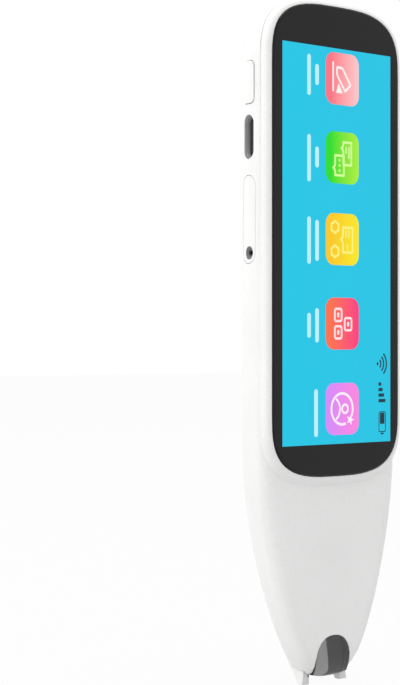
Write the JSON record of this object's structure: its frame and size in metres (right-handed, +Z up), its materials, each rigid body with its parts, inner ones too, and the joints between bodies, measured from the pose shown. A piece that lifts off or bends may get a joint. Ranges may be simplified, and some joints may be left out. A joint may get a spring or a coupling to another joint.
{
  "type": "handheld translator",
  "caption": "Slim pen-shaped scanning translator with a tall touch display, tapered nose with a pressing tip guard, side button, USB-C port, card tray and rear camera window.",
  "frame": {"origin": "bottom centre of the bounding box, at the feet of the tip guard", "axes": "+Z up the length from tip to top, +Y out of the back; the display faces -Y and the button, port and card tray are on -X"},
  "size_m": [0.0418, 0.0128, 0.1446],
  "materials": {
    "white_shell": "satin moulded ABS",
    "cover_glass": "black-printed glass",
    "lit_panel": "lit colour display",
    "pressed_steel": "pressed tinned steel",
    "flex": "polyimide flat cable",
    "chassis": "die-cast, blasted",
    "circuit_board": "green solder mask",
    "pouch_cell": "laminated foil",
    "black_plastic": "moulded, fine texture",
    "port_steel": "drawn stainless steel",
    "lens": "coated optical glass",
    "mesh_cloth": "woven dust mesh",
    "lamp": "white diode lens",
    "smoked_window": "smoked polycarbonate",
    "spring_steel": "drawn wire",
    "gold_can": "plated"
  },
  "bodies": {
    "body": {"front_housing": "white_shell", "rear_housing": "white_shell", "display_glass": "cover_glass", "display_panel": "lit_panel", "backlight_tray": "pressed_steel", "display_flex": "flex", "middle_frame": "chassis", "main_board": "circuit_board", "processor_shield": "pressed_steel", "radio_shield": "pressed_steel", "battery": "pouch_cell", "power_switch": "black_plastic", "usb_c_shell": "port_steel", "usb_c_tongue": "black_plastic", "card_socket": "pressed_steel", "rear_camera_window": "cover_glass", "rear_camera_module": "black_plastic", "rear_camera_lens": "lens", "loudspeaker": "black_plastic", "speaker_mesh": "mesh_cloth", "microphone": "gold_can", "scanner_board": "circuit_board", "scanner_camera": "black_plastic", "scanner_lens": "lens", "scanner_lamps": "lamp", "tip_window": "smoked_window", "tip_spring": "spring_steel", "tip_switch": "black_plastic", "frame_screws": "spring_steel"},
    "button": {"power_button": "white_shell"},
    "tray": {"card_tray": "white_shell"},
    "ejector_rod": {"eject_rod": "spring_steel"},
    "ejector_lever": {"eject_lever": "spring_steel"},
    "tip": {"tip_guard": "white_shell"}
  },
  "joints": [
    {"name": "power_button_press", "type": "slide", "parent": "body", "child": "button", "axis": [1, 0, 0], "range_m": [0, 0.00035], "stiffness_N_per_m": 3000, "springref_m": -0.0003},
    {"name": "card_tray_slide", "type": "slide", "parent": "body", "child": "tray", "axis": [-1, 0, 0], "range_m": [0, 0.018]},
    {"name": "eject_rod_push", "type": "slide", "parent": "body", "child": "ejector_rod", "axis": [1, 0, 0], "range_m": [0, 0.0015]},
    {"name": "eject_lever_turn", "type": "hinge", "parent": "body", "child": "ejector_lever", "pos_m": [-0.0016, -0.00017, 0.09685], "axis": [0, 1, 0], "range_deg": [-14.5, 0]},
    {"name": "tip_guard_press", "type": "slide", "parent": "body", "child": "tip", "axis": [0, 0, 1], "range_m": [0, 0.0008], "stiffness_N_per_m": 1500, "springref_m": -0.0008, "deforming": ["tip_spring"]}
  ],
  "couplings": [
    {"joint": "eject_lever_turn", "follows": "eject_rod_push", "rad_per_m": -160}
  ]
}
